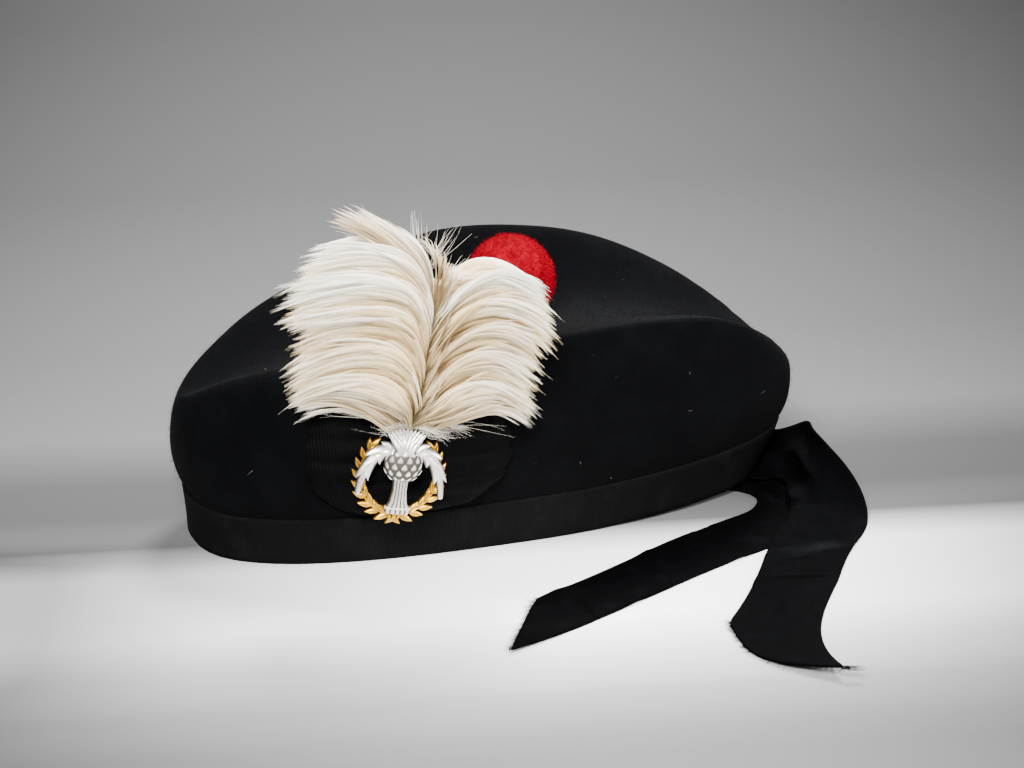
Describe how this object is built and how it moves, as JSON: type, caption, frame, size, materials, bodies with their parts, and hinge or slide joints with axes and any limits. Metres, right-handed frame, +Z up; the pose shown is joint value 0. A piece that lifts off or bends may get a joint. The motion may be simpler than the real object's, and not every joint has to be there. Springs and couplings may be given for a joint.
{
  "type": "glengarry cap",
  "caption": "Folding wool felt cap with a ribbon-bound rim, ribbon tails, rosette, metal badge, feather hackle and wool toorie.",
  "frame": {"origin": "on the floor under the middle of the ribbon binding at the front of the rim, where the cap rests", "axes": "+X from the front of the cap to the back, +Y away from the badge side, +Z up"},
  "size_m": [0.2812, 0.2837, 0.1573],
  "materials": {
    "black_felt": "black blocked wool felt with a short nap",
    "black_ribbon": "black ribbed ribbon, slightly worn",
    "gilt": "stamped gilt metal with darker hollows",
    "white_metal": "stamped white metal, polished on its crests",
    "feather": "warm white loose feather",
    "red_wool": "dense bright red wool tufts"
  },
  "bodies": {
    "root": {"crown_shell": "black_felt", "rim_binding": "black_ribbon", "tail_upper": "black_ribbon", "tail_lower": "black_ribbon", "cockade": "black_ribbon", "badge_wreath": "gilt", "badge_thistle": "white_metal", "hackle": "feather", "toorie": "red_wool"}
  },
  "joints": []
}
